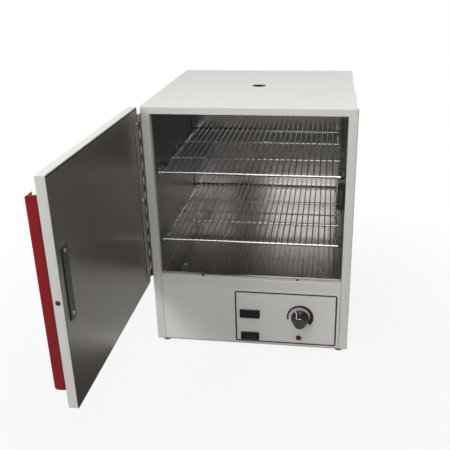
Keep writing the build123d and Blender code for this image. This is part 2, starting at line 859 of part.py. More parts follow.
def knob_pointer():
    """White line up the skirt and the grip."""
    skin = knob_form(pointer_height) - knob_form(0)
    start = knob_grip_radius - pointer_start
    end = knob_skirt_radius + beyond
    middle = Pos((start + end) / 2, 0, knob_height / 2 + pointer_drop)
    line = middle * Box(end - start, pointer_width, knob_height)
    line = Rot(0, 0, pointer_angle) * line
    return knob_plane() * (skin & line)


def thermostat_shaft():
    """Spindle between the knob and the thermostat."""
    start = overlay_front - knob_standoff - shaft_socket_depth + shaft_end_gap
    end = cabinet_sheet + shaft_bore_depth - shaft_end_gap
    return rod((knob_x, start, knob_z), (knob_x, end, knob_z), shaft_radius)


def capillary_line():
    """The capillary's route: back from the thermostat, then up behind the chamber."""
    low = knob_z - capillary_drop
    start = (knob_x, cabinet_sheet + thermostat_depth, low)
    return FilletPolyline(start, (knob_x, bulb_y, low), (knob_x, bulb_y, bulb_bottom), radius=capillary_bend)


def capillary_tube():
    """Copper capillary from the thermostat to its bulb."""
    line = capillary_line()
    section = Plane(origin=line @ 0, z_dir=line % 0) * Circle(capillary_radius)
    return sweep(section, path=line)


def thermostat_bulb():
    """Sensing bulb, upright against the back of the liner."""
    bulb = rod((knob_x, bulb_y, bulb_bottom), (knob_x, bulb_y, bulb_bottom + bulb_length), bulb_radius)
    return fillet(bulb.edges().filter_by(GeomType.CIRCLE), bulb_round)


def display_opening():
    """Face size of the display's window."""
    return (display_size[0] - 2 * display_rim, display_size[1] - 2 * display_rim)


def display_bezel():
    """Raised frame round the display window."""
    front = overlay_front - display_depth
    bezel = framed(display_x, display_z, display_size, (front, overlay_front))
    bezel = fillet(bezel.edges().filter_by(Axis.Y), bezel_corner)
    bezel = chamfer(bezel.faces().sort_by(Axis.Y)[0].edges(), bezel_chamfer)
    return bezel - framed(display_x, display_z, display_opening(), (front - beyond, beyond))


def display_window():
    """Dark window of the thermometer."""
    width, height = display_opening()
    size = (width - 2 * window_gap, height - 2 * window_gap)
    return framed(display_x, display_z, size, (overlay_front - display_depth + window_recess, overlay_front))


def display_module():
    """Thermometer module behind the window."""
    return framed(display_x, display_z, display_opening(), (overlay_front, display_module_depth))


def rocker_plane():
    """The rocker's pivot line, upright through the housing."""
    return Plane(origin=(rocker_x, rocker_pivot_y, rocker_z))


def rocker_body_size():
    """Face size of the switch body behind its rim."""
    return (rocker_size[0] - 2 * (rocker_rim - rocker_wall), rocker_size[1] - 2 * (rocker_rim - rocker_wall))


def rocker_housing():
    """Black switch body with a rim on the panel, a cavity for the rocker and bores for its pins."""
    front = overlay_front - rocker_height
    rim = framed(rocker_x, rocker_z, rocker_size, (front, overlay_front))
    rim = fillet(rim.edges().filter_by(Axis.Y), bezel_corner)
    rim = chamfer(rim.faces().sort_by(Axis.Y)[0].edges(), bezel_chamfer)
    body = rim + framed(rocker_x, rocker_z, rocker_body_size(), (overlay_front, rocker_body_depth))
    body -= framed(rocker_x, rocker_z, rocker_cavity, (front - beyond, rocker_body_depth - rocker_back_wall))
    blade_y = (rocker_body_depth, rocker_body_depth + blade_length)
    for offset in (-blade_pitch, 0.0, blade_pitch):
        body += framed(rocker_x + offset, rocker_z, blade_size, blade_y)
    bore_length = rocker_cavity[1] + 2 * rocker_pin_seat + 2 * rocker_gap
    return body - rocker_plane() * Cylinder(rocker_pin_radius + running_gap, bore_length)


def rocker_paddle():
    """Rocker with two faces that meet at a shallow angle, resting on its left side."""
    half = rocker_arc + rocker_side_lap
    crown = overlay_front - rocker_height - rocker_pivot_y
    rise = half * math.tan(math.radians(rocker_tilt))
    outline = [
        (-half, rocker_foot),
        (-half, crown - rise),
        (0, crown + rocker_crown),
        (half, crown - rise),
        (half, rocker_foot),
    ]
    height = rocker_cavity[1] - 2 * rocker_gap
    paddle = extrude(make_face(Polyline(*outline, close=True)), height / 2, both=True)
    paddle &= Cylinder(rocker_arc, height)
    pin = Cylinder(rocker_pin_radius, rocker_cavity[1] + 2 * rocker_pin_seat)
    return rocker_plane() * Rot(0, 0, -rocker_tilt) * (paddle + pin)


def pilot_bezel():
    """Thin ring round the pilot lens."""
    front = overlay_front - pilot_bezel_height
    ring = rod((pilot_x, front, pilot_z), (pilot_x, overlay_front, pilot_z), pilot_bezel_radius)
    ring = fillet(ring.edges().filter_by(GeomType.CIRCLE).sort_by(Axis.Y)[0], pilot_bezel_round)
    bore_ends = ((pilot_x, front - beyond, pilot_z), (pilot_x, beyond, pilot_z))
    return ring - rod(*bore_ends, pilot_lens_radius + running_gap)


def pilot_lens():
    """Red lens with a domed face, on the lamp's stem."""
    front = overlay_front - pilot_lens_height
    lens = rod((pilot_x, front, pilot_z), (pilot_x, pilot_body_depth, pilot_z), pilot_lens_radius)
    return fillet(lens.edges().filter_by(GeomType.CIRCLE).sort_by(Axis.Y)[0], pilot_lens_round)


def terminal_block():
    """Row of screw terminals on the base."""
    x, y = terminal_position
    width, depth, height = terminal_size
    low = foot_height + cabinet_sheet
    body = block((x - width / 2, x + width / 2), (y - depth / 2, y + depth / 2), (low, low + height))
    pitch = width / terminal_ways
    well_z = (low + height - terminal_well_depth, low + height + beyond)
    for index in range(terminal_ways):
        centre = x - width / 2 + (index + 0.5) * pitch
        body -= rod((centre, y, well_z[0]), (centre, y, well_z[1]), terminal_well_radius)
    return body


def back_panel():
    """Flat back with ventilation slots over the control compartment and a cut-out for the inlet."""
    half = half_width - back_panel_margin
    heights = (body_bottom + back_panel_margin, cabinet_height - back_panel_margin)
    panel = block((-half, half), (wrapper_depth, cabinet_depth), heights)
    inlet_cutout = [length + 2 * back_cutout_gap for length in inlet_body_size]
    cutters = [framed(inlet_x, inlet_z, inlet_cutout, (0, 2 * cabinet_depth))]
    slot_y = (wrapper_depth - beyond, cabinet_depth + beyond)
    for index in range(vent_slots):
        x = vent_x + index * vent_slot_pitch
        slot = framed(x, vent_z + vent_slot_size[1] / 2, vent_slot_size, slot_y)
        cutters.append(fillet(slot.edges().filter_by(Axis.Y), vent_slot_size[0] / 2 * 0.99))
    cutters += [screw_hole(seat, BACK, panel_screw) for seat in back_seats]
    cutters += [screw_hole(seat, BACK, handle_screw) for seat in inlet_seats]
    return without(panel, cutters)


def power_inlet():
    """Appliance inlet: a flange on the back panel and a deep cavity with two cut corners."""
    outer = cabinet_depth + inlet_flange_thickness
    flange = framed(inlet_x, inlet_z, inlet_flange_size, (cabinet_depth, outer))
    flange = fillet(flange.edges().filter_by(Axis.Y), inlet_flange_corner)
    back = cabinet_depth - inlet_body_depth
    body = flange + framed(inlet_x, inlet_z, inlet_body_size, (back, cabinet_depth))
    cavity = framed(inlet_x, inlet_z, inlet_cavity_size, (outer - inlet_cavity_depth, outer + beyond))
    cavity = chamfer(cavity.edges().filter_by(Axis.Y).group_by(Axis.Z)[-1], inlet_cavity_cut)
    return without(body - cavity, [screw_hole(seat, BACK, handle_screw) for seat in inlet_seats])


def inlet_pins():
    """Line, neutral and earth pins of the inlet."""
    back = cabinet_depth + inlet_flange_thickness - inlet_cavity_depth
    blade_y = (back, back + blade_pin_length)
    blade_z = inlet_z - blade_pin_drop
    blades = [framed(inlet_x + x, blade_z, blade_pin_size, blade_y) for x in mirrored(blade_pin_spread)]
    earth = framed(inlet_x, inlet_z + earth_pin_rise, blade_pin_size, (back, back + earth_pin_length))
    return blades + [earth]


def hinge_leaf_of_door():
    """The leaf on the door's inner face, with every second knuckle."""
    n = (leaf_inner, door_inner)
    leaf = door_block((leaf_clear, door_leaf_width), n, (hinge_bottom, hinge_top))
    knuckles = hinge_knuckles(0)
    tongues = [door_block((0, leaf_clear + beyond), n, z) for z in knuckles]
    holes = [screw_hole(seat, RIGHT, leaf_screw) for seat in door_leaf_seats]
    return knuckled(leaf, tongues, knuckles, holes)


def hinge_leaf_of_cabinet():
    """The leaf on the cabinet's left side, with the knuckles between those of the door."""
    x = (hinge_x - leaf_thickness, hinge_x)
    leaf = block(x, (hinge_y + leaf_clear, cabinet_leaf_width), (hinge_bottom, hinge_top))
    knuckles = hinge_knuckles(1)
    tongues = [block(x, (hinge_y, hinge_y + leaf_clear + beyond), z) for z in knuckles]
    holes = [screw_hole(seat, LEFT, leaf_screw) for seat in cabinet_leaf_seats]
    return knuckled(leaf, tongues, knuckles, holes)


def hinge_knuckles(first):
    """Heights of every second knuckle, counted from first."""
    pitch = (hinge_top - hinge_bottom) / knuckle_count
    starts = [hinge_bottom + index * pitch for index in range(first, knuckle_count, 2)]
    return [(start + knuckle_gap / 2, start + pitch - knuckle_gap / 2) for start in starts]


def knuckled(leaf, tongues, knuckles, holes):
    """A hinge leaf with its tongues rolled round the pin."""
    barrels = [
        rod((hinge_x, hinge_y, low), (hinge_x, hinge_y, high), knuckle_radius) for low, high in knuckles
    ]
    leaf = leaf.fuse(*tongues, *barrels)
    start = (hinge_x, hinge_y, hinge_bottom - beyond)
    bore = rod(start, (hinge_x, hinge_y, hinge_top + beyond), pin_radius + running_gap)
    return without(leaf, [bore] + holes)


def hinge_pin():
    """Pin through all the knuckles."""
    return rod((hinge_x, hinge_y, hinge_bottom), (hinge_x, hinge_y, hinge_top), pin_radius)


def door_outer():
    """Painted pan of the door, with its rims turned in under the inner panel."""
    rim = door_inner + door_panel_sheet
    pan = door_block((door_start, door_end), (rim, door_outer_face), (door_bottom, door_top))
    outer_edges = pan.faces().sort_by(Axis.X)[0].edges()
    corners = pan.edges().filter_by(Axis.X)
    pan = fillet(outer_edges + corners, door_bend)
    inner_u = (door_start + door_sheet, door_end - door_sheet)
    inner_z = (door_bottom + door_sheet, door_top - door_sheet)
    pan -= door_block(inner_u, (rim + door_sheet, door_outer_face - door_sheet), inner_z)
    pan -= door_block(
        (inner_u[0] + door_rim_flange, inner_u[1] - door_free_flange),
        (0, rim + 2 * door_sheet),
        (inner_z[0] + door_rim_flange, inner_z[1] - door_rim_flange),
    )
    holes = [screw_hole(seat, RIGHT, leaf_screw) for seat in door_leaf_seats]
    holes += [screw_hole(seat, RIGHT, strike_screw) for seat in strike_seats]
    holes += [screw_hole(seat, LEFT, handle_screw) for seat in handle_seats]
    holes.append(edge_plug_stem(screw_hole_gap))
    return without(pan, holes)


def door_inner_panel():
    """Stainless sheet over the whole inner side of the door."""
    sheet = door_block(
        (door_start + inner_panel_margin, door_end - inner_panel_margin),
        (door_inner, door_inner + door_panel_sheet),
        (door_bottom + inner_panel_margin, door_top - inner_panel_margin),
    )
    sheet = fillet(sheet.edges().filter_by(Axis.X), inner_panel_corner)
    holes = [screw_hole(seat, RIGHT, leaf_screw) for seat in door_leaf_seats]
    holes += [screw_hole(seat, RIGHT, strike_screw) for seat in strike_seats]
    return without(sheet, holes)


def door_insulation():
    """Pad inside the door, with room for the screws that reach into it."""
    rim = door_inner + door_panel_sheet + door_sheet
    edge = door_sheet + insulation_gap
    pad = door_block(
        (door_start + edge, door_end - edge),
        (rim + insulation_gap, door_outer_face - door_sheet - insulation_gap),
        (door_bottom + edge, door_top - edge),
    )
    pockets = [screw_hole(seat, RIGHT, insulation_pocket) for seat in door_leaf_seats + strike_seats]
    pockets += [screw_hole(seat, LEFT, insulation_pocket) for seat in handle_seats]
    pockets.append(edge_plug_stem(edge_plug_pocket))
    return without(pad, pockets)


def edge_plug_stem(gap):
    """Stem of the plug in the door's free edge, grown by gap."""
    start = door_point(door_end + beyond, plug_middle, edge_plug_z)
    end = door_point(door_end - edge_plug_stem_length - gap, plug_middle, edge_plug_z)
    return rod(start, end, edge_plug_stem_radius + gap)


def door_edge_plug():
    """Round plug in the door's free edge."""
    start = door_point(door_end, plug_middle, edge_plug_z)
    head = rod(start, door_point(door_end + edge_plug_head, plug_middle, edge_plug_z), edge_plug_radius)
    head = fillet(head.edges().filter_by(GeomType.CIRCLE).sort_by(Axis.Y)[0], edge_plug_round)
    stem_end = door_point(door_end - edge_plug_stem_length, plug_middle, edge_plug_z)
    return head + rod(start, stem_end, edge_plug_stem_radius)


def door_handle():
    """Red pull channel: a flange on the door, a web at the free edge and a lip turned back."""
    z = (handle_bottom, handle_top)
    channel = door_block((door_end - handle_flange, door_end), (door_outer_face, handle_outer_face), z)
    bends = channel.edges().filter_by(Axis.Z).group_by(Axis.Y)[0]
    channel = fillet(bends, handle_bend)
    inside = door_block(
        (0, door_end - handle_sheet),
        (door_outer_face + handle_sheet, handle_outer_face - handle_sheet),
        (0, cabinet_height),
    )
    inside = fillet(inside.edges().filter_by(Axis.Z).group_by(Axis.Y)[0], handle_bend - handle_sheet)
    channel -= inside
    channel -= door_block(
        (0, door_end - handle_lip),
        (handle_outer_face - 2 * handle_sheet, handle_outer_face + beyond),
        (0, cabinet_height),
    )
    outline = door_block((0, door_end + beyond), (0, handle_outer_face), z)
    outline = fillet(outline.edges().filter_by(Axis.Y).group_by(Axis.X)[0], handle_corner)
    channel &= outline
    return without(channel, [screw_hole(seat, LEFT, handle_screw) for seat in handle_seats])


def strike_plate():
    """Steel strip on the door that the magnet holds."""
    low, high = strike_screw_rows
    plate = door_block(
        (strike_u - strike_width / 2, strike_u + strike_width / 2),
        (strike_inner, door_inner),
        (low - strike_margin, high + strike_margin),
    )
    plate = fillet(plate.edges().filter_by(Axis.X), strike_corner)
    return without(plate, [screw_hole(seat, RIGHT, strike_screw) for seat in strike_seats])


def magnet_block(y, growth):
    """The magnet's form between two depths, grown by growth."""
    return block(
        (magnet_left - growth, magnet_left + magnet_width + growth),
        y,
        (magnet_middle - magnet_height / 2 - growth, magnet_middle + magnet_height / 2 + growth),
    )


def catch_body():
    """Black catch housing on the right return of the opening."""
    back = catch_front + catch_depth
    body = block((catch_left, catch_right), (catch_front, back), (catch_bottom, catch_top))
    body = fillet(body.edges().filter_by(Axis.Z).group_by(Axis.X)[0], catch_corner)
    return body - magnet_block((catch_front - beyond, catch_front + magnet_seat + running_gap), running_gap)


def catch_magnet():
    """Magnet with its pole plates, standing out of the housing to meet the strike."""
    return magnet_block((magnet_front, catch_front + magnet_seat), 0)


save("outer_wrapper", outer_wrapper())
save("base_pan", base_pan())
save("rubber_feet", *rubber_feet())
save("foot_screws", *[pan_screw(seat, DOWN, foot_screw) for seat in foot_seats])
save("control_panel", control_panel())
save("panel_overlay", panel_overlay())
save("sill_screws", *[pan_screw(seat, UP, small_screw) for seat in sill_seats])
save("chamber_liner", chamber_liner())
save("floor_pan", floor_pan())
save("floor_screws", *[pan_screw(seat, UP, floor_screw) for seat in floor_seats])
for shelf, shelf_height in shelf_heights.items():
    save(shelf, wire_shelf(shelf_height))
    save(f"{shelf}_clips", *shelf_clips(shelf_height))
save("port_sleeve", port_sleeve())
save("side_insulation", *side_insulation())
save("top_insulation", top_insulation())
save("back_insulation", back_insulation())
save("bottom_insulation", bottom_insulation())
save("compartment_shield", compartment_shield())
save("heater_strips", *heater_strips())
save("safety_thermostat", safety_thermostat())
save("thermostat_body", thermostat_body())
save("thermostat_nut", thermostat_nut())
save("thermostat_shaft", thermostat_shaft())
save("capillary_tube", capillary_tube())
save("thermostat_bulb", thermostat_bulb())
save("knob_body", knob_body())
save("knob_cap", knob_cap())
save("knob_pointer", knob_pointer())
save("display_bezel", display_bezel())
save("display_window", display_window())
save("display_module", display_module())
save("rocker_housing", rocker_housing())
save("rocker_paddle", rocker_paddle())
save("pilot_bezel", pilot_bezel())
save("pilot_lens", pilot_lens())
save("terminal_block", terminal_block())
save("back_panel", back_panel())
save("back_screws", *[pan_screw(seat, BACK, panel_screw) for seat in back_seats])
save("power_inlet", power_inlet())
save("inlet_pins", *inlet_pins())
save("inlet_screws", *[pan_screw(seat, BACK, handle_screw) for seat in inlet_seats])
save("hinge_door_leaf", hinge_leaf_of_door())
save("hinge_cabinet_leaf", hinge_leaf_of_cabinet())
save("hinge_pin", hinge_pin())
save("hinge_leaf_screws_door", *[pan_screw(seat, RIGHT, leaf_screw) for seat in door_leaf_seats])
save("hinge_leaf_screws_cabinet", *[pan_screw(seat, LEFT, leaf_screw) for seat in cabinet_leaf_seats])
save("door_outer", door_outer())
save("door_inner_panel", door_inner_panel())
save("door_insulation", door_insulation())
save("door_edge_plug", door_edge_plug())
save("door_handle", door_handle())
save("handle_screws", *[pan_screw(seat, LEFT, handle_screw) for seat in handle_seats])
save("strike_plate", strike_plate())
save("strike_screws", *[pan_screw(seat, RIGHT, strike_screw) for seat in strike_seats])
save("catch_body", catch_body())
save("catch_magnet", catch_magnet())
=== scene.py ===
import math

import bmesh
import bpy
from mathutils import Matrix, Vector


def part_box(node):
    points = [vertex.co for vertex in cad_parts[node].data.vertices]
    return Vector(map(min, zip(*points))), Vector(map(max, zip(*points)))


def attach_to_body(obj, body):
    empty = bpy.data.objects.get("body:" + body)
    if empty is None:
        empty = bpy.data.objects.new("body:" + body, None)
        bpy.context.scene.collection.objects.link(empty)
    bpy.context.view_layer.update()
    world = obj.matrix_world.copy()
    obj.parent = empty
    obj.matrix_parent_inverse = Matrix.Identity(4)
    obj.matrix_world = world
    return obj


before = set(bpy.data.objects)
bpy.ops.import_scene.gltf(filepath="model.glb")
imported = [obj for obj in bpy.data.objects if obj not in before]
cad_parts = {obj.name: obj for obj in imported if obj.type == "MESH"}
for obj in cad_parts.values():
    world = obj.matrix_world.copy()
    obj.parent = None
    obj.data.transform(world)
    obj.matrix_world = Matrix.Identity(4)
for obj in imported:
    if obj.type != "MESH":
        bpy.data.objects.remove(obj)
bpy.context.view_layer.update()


# Base pan and rubber feet.
# The pan is a zinc-plated steel tray that closes the case from below. Its four feet are moulded
# in black rubber, each held by a pan-head screw through a recess.
class Socket:
    """An output of a node. Arithmetic on it adds Math nodes."""

    def __init__(self, finish, output):
        self.finish = finish
        self.output = output

    def maths(self, operation, *values):
        return self.finish.node("ShaderNodeMath", {"operation": operation}, dict(enumerate(values)))

    def __add__(self, other):
        return self.maths("ADD", self, other)

    def __sub__(self, other):
        return self.maths("SUBTRACT", self, other)

    def __rsub__(self, other):
        return self.maths("SUBTRACT", other, self)

    def __mul__(self, other):
        return self.maths("MULTIPLY", self, other)

    def __rmul__(self, other):
        return self.maths("MULTIPLY", other, self)

    def __radd__(self, other):
        return self.maths("ADD", other, self)

    def above(self, level):
        return self.maths("GREATER_THAN", self, level)

    def size(self):
        return self.maths("ABSOLUTE", self)


class Finish:
    """A material: one principled shader, with nodes added to it by node()."""

    def __init__(self, name, **constants):
        self.material = bpy.data.materials.new(name)
        self.material.use_nodes = True
        self.tree = self.material.node_tree
        self.shader = self.tree.nodes["Principled BSDF"]
        for label, value in constants.items():
            self.shader.inputs[label.replace("_", " ").title()].default_value = value
        self.place = self.node("ShaderNodeTexCoord", out="Object")

    def link(self, socket, value):
        """Feed a socket from another node's output, or set it to a value."""
        if isinstance(value, Socket):
            self.tree.links.new(value.output, socket)
        else:
            socket.default_value = value

    def node(self, kind, settings=None, inputs=None, out=0):
        """Add a node: its settings first, then what its sockets take. Gives the output named out."""
        added = self.tree.nodes.new(kind)
        for label, value in (settings or {}).items():
            setattr(added, label, value)
        for label, value in (inputs or {}).items():
            self.link(added.inputs[label], value)
        return Socket(self, added.outputs[out])

    def feed(self, **sources):
        """Feed the shader's own sockets."""
        for label, value in sources.items():
            self.link(self.shader.inputs[label.replace("_", " ").title()], value)

    def stretched(self, scale):
        """The piece's coordinates, scaled along each axis."""
        return self.node("ShaderNodeMapping", inputs={"Vector": self.place, "Scale": scale})

    def noise(self, scale, detail=2.0, place=None, roughness=0.5):
        """Smooth noise from 0 to 1."""
        inputs = {"Vector": place or self.place, "Scale": scale, "Detail": detail, "Roughness": roughness}
        return self.node("ShaderNodeTexNoise", inputs=inputs)

    def colours(self, mask, low, high):
        """A colour between two others."""
        inputs = {0: mask, 6: (*low, 1) if isinstance(low, tuple) else low}
        inputs[7] = (*high, 1) if isinstance(high, tuple) else high
        return self.node("ShaderNodeMix", {"data_type": "RGBA", "clamp_factor": True}, inputs, out=2)

    def bump(self, height, depth):
        """A normal from a height of 0 to 1 that stands for depth metres."""
        return self.node("ShaderNodeBump", inputs={"Height": height, "Distance": depth, "Strength": 1.0})


def shaded(colour, share):
    """A colour made lighter or darker."""
    return tuple(channel * share for channel in colour)


def dress(finish, *nodes):
    """Give CAD nodes a material."""
    for node in nodes:
        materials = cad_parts[node].data.materials
        materials.clear()
        materials.append(finish.material)


def moulded(name, colour, roughness=0.45, grain=1400, depth=2.0e-5, metallic=0.0):
    """Moulded rubber or plastic with a fine spark-eroded grain and a slight bloom."""
    finish = Finish(name, metallic=metallic)
    bloom = finish.noise(35, detail=4)
    finish.feed(
        base_color=finish.colours(bloom, shaded(colour, 0.8), shaded(colour, 1.25)),
        roughness=roughness - 0.08 + 0.16 * bloom,
        normal=finish.bump(finish.noise(grain, detail=1), depth),
    )
    return finish


def plated(name, colour, roughness=0.3, flow=(1, 1, 1)):
    """Zinc or chrome plate with faint cloudy variation."""
    finish = Finish(name, metallic=1.0)
    clouds = finish.noise(60, detail=5, place=finish.stretched(flow))
    finish.feed(
        base_color=finish.colours(clouds, shaded(colour, 0.82), shaded(colour, 1.08)),
        roughness=roughness - 0.06 + 0.14 * clouds,
        normal=finish.bump(finish.noise(900, detail=2), 6.0e-6),
    )
    return finish


def places_of(node, reach=0.02):
    """Middles and corners of a node's like solids, found as groups of vertices that lie close together."""
    groups = []
    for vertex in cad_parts[node].data.vertices:
        point = vertex.co
        for group in groups:
            if (point - group[0]).length < reach:
                group.append(point.copy())
                break
        else:
            groups.append([point.copy()])
    corners = []
    for group in groups:
        low = Vector(min(point[axis] for point in group) for axis in range(3))
        high = Vector(max(point[axis] for point in group) for axis in range(3))
        corners.append((low, high))
    return corners


def begin(name, adder, scale=(1, 1, 1), **settings):
    """Add a primitive as a new piece, selected alone."""
    bpy.ops.object.select_all(action="DESELECT")
    adder(**settings)
    piece = bpy.context.object
    piece.scale = scale
    piece.name = name
    piece.data.name = name
    return piece


def settle(piece):
    """Put a piece's place, turn and size into its mesh."""
    bpy.ops.object.select_all(action="DESELECT")
    piece.select_set(True)
    bpy.context.view_layer.objects.active = piece
    bpy.ops.object.transform_apply(location=True, rotation=True, scale=True)
    return piece


def modified(piece, kind, **settings):
    """Add a modifier to a piece and apply it."""
    bpy.context.view_layer.objects.active = piece
    modifier = piece.modifiers.new(kind.title(), kind)
    for label, value in settings.items():
        setattr(modifier, label, value)
    bpy.ops.object.modifier_apply(modifier=modifier.name)
    return piece


def attach(piece, finish, body="cabinet"):
    """Give a new piece its material and its body."""
    piece.data.materials.clear()
    piece.data.materials.append(finish.material)
    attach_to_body(piece, body)


zinc = plated("zinc plate", (0.50, 0.51, 0.53), roughness=0.36)
dress(zinc, "base_pan")
rubber = moulded("foot rubber", (0.022, 0.022, 0.023), roughness=0.7, grain=700, depth=5.0e-5)
dress(rubber, "rubber_feet")


# Screws.
# Pan-head machine screws, cold-formed in steel and zinc-plated, with a cross recess. Those of the
# sill are blackened. Each one sits on the sheet that it holds.
head_sides = 24
recess_width = 0.22
recess_depth = 0.45
head_crown = 0.5
head_top = 0.9
recess_reach = 1.1
head_margin = 1.01
head_lift = 0.00003
head_turn = 0.7
screw_plate = plated("screw plate", (0.52, 0.52, 0.53), roughness=0.28)
screw_black = plated("blackened steel", (0.055, 0.05, 0.048), roughness=0.4)


def recessed_head(radius, rise):
    """A pan head that stands on z = 0, crowned by a bevel, with a cross recess cut into it."""
    head = begin(
        "screw head", bpy.ops.mesh.primitive_cylinder_add,
        vertices=head_sides, radius=radius, depth=rise, location=(0, 0, rise / 2),
    )
    settle(head)
    bpy.ops.object.mode_set(mode="EDIT")
    bpy.ops.mesh.select_all(action="DESELECT")
    shape = bmesh.from_edit_mesh(head.data)
    for edge in shape.edges:
        edge.select = all(vertex.co.z > rise * head_top for vertex in edge.verts)
    bmesh.update_edit_mesh(head.data)
    bpy.ops.mesh.bevel(offset=rise * head_crown, segments=3, affect="EDGES")
    bpy.ops.object.mode_set(mode="OBJECT")
    for turn in (0, math.pi / 2):
        cutter = begin(
            "recess cutter", bpy.ops.mesh.primitive_cube_add,
            scale=(radius * recess_reach, radius * recess_width, rise * 2 * recess_depth),
            size=1, location=(0, 0, rise), rotation=(0, 0, turn),
        )
        settle(cutter)
        modified(head, "BOOLEAN", object=cutter, operation="DIFFERENCE", solver="EXACT")
        bpy.data.objects.remove(cutter)
    return head


def dress_screws(node, outward, radius, rise, finish=screw_plate, body="cabinet"):
    """Dress a node's screws and set a recessed head over each of them, standing proud by a hair."""
    dress(finish, node)
    head = recessed_head(radius * head_margin, rise)
    turn = Vector(outward).to_track_quat("Z", "Y").to_matrix().to_4x4()
    axis = max(range(3), key=lambda index: abs(outward[index]))
    bpy.ops.object.select_all(action="DESELECT")
    made = []
    for number, (low, high) in enumerate(places_of(node)):
        seat = (low + high) / 2
        outer = high[axis] if outward[axis] > 0 else low[axis]
        seat[axis] = outer - outward[axis] * (rise - head_lift)
        piece = head.copy()
        piece.data = head.data.copy()
        piece.name = f"{node}_head_{number}"
        bpy.context.collection.objects.link(piece)
        spin = Matrix.Rotation(head_turn * number, 4, "Z")
        piece.data.transform(Matrix.Translation(seat) @ turn @ spin)
        piece.select_set(True)
        made.append(piece)
    bpy.data.objects.remove(head)
    bpy.context.view_layer.objects.active = made[0]
    bpy.ops.object.join()
    made[0].name = f"{node}_heads"
    attach(made[0], finish, body)


dress_screws("foot_screws", (0, 0, -1), radius=0.0038, rise=0.0024)


# Back panel and power inlet.
# A flat steel sheet, coated like the case, screwed on round its edge, with ventilation slots. The
# inlet is a moulded three-pin appliance socket with plated brass pins, held by two screws.
paint_colour = (0.745, 0.735, 0.70)


def powder_coat(name, colour, roughness=0.42):
    """Powder coat: orange peel, slight unevenness and a few specks of dust."""
    finish = Finish(name, coat_weight=0.15, coat_roughness=0.25)
    peel = finish.noise(420, detail=3)
    uneven = finish.noise(9, detail=3)
    specks = finish.noise(260, detail=1).above(0.79)
    clean = finish.colours(uneven, shaded(colour, 0.965), shaded(colour, 1.015))
    finish.feed(
        base_color=finish.colours(0.25 * specks, clean, shaded(colour, 0.7)),
        roughness=roughness - 0.05 + 0.12 * peel,
        normal=finish.bump(peel + 0.4 * finish.noise(1500, detail=1), 1.6e-5),
    )
    return finish


dress(powder_coat("back paint", paint_colour), "back_panel")
dress_screws("back_screws", (0, 1, 0), radius=0.0034, rise=0.0019)
dress(moulded("inlet nylon", (0.02, 0.02, 0.021), roughness=0.5), "power_inlet")
dress(plated("inlet brass", (0.62, 0.54, 0.33), roughness=0.25), "inlet_pins")
dress_screws("inlet_screws", (0, 1, 0), radius=0.0034, rise=0.002)


# Heater, thermostats and wiring block under the chamber.
# Strip heaters in a steel sheath, a disc cut-out, a capillary thermostat with its copper bulb, and
# a terminal block of pale nylon, over a zinc-plated shield.
dress(plated("heater sheath", (0.33, 0.30, 0.27), roughness=0.5), "heater_strips")
dress(plated("shield zinc", (0.48, 0.49, 0.50), roughness=0.4), "compartment_shield")
phenolic = moulded("black phenolic", (0.025, 0.023, 0.022), roughness=0.4)
dress(phenolic, "safety_thermostat", "thermostat_body")
dress(plated("copper", (0.62, 0.33, 0.20), roughness=0.3), "capillary_tube", "thermostat_bulb")
dress(moulded("terminal nylon", (0.60, 0.57, 0.48), roughness=0.5), "terminal_block")
dress(moulded("module case", (0.03, 0.03, 0.032), roughness=0.5), "display_module")


# Insulation.
# Pads of yellow glass fibre, cut from roll and packed between the chamber and the case.
def fibre_pad(name, colour):
    """Matted glass fibre: crossed strands over soft lumps."""
    finish = Finish(name, roughness=0.95)
    strands = finish.noise(300, detail=6, place=finish.stretched((1, 0.15, 0.6)), roughness=0.7)
    lumps = finish.noise(40, detail=4)
    finish.feed(
        base_color=finish.colours(strands, shaded(colour, 0.7), shaded(colour, 1.15)),
        normal=finish.bump(strands + lumps, 0.0012),
    )
    return finish


pads = ("side_insulation", "top_insulation", "back_insulation", "bottom_insulation", "door_insulation")
dress(fibre_pad("glass fibre", (0.62, 0.55, 0.30)), *pads)


# Chamber liner, floor tray and port sleeve.
# Brushed stainless sheet, folded and spot-welded. The grain runs from side to side on the back and
# the floor and from front to back on the side walls, which are rougher and darkened as painted shade.
steel_colour = (0.49, 0.473, 0.455)
side_wall_painted_shade = 0.62
side_roughness = 0.20
grain_along = 12
streak_along = 2.5
streak_across = 160


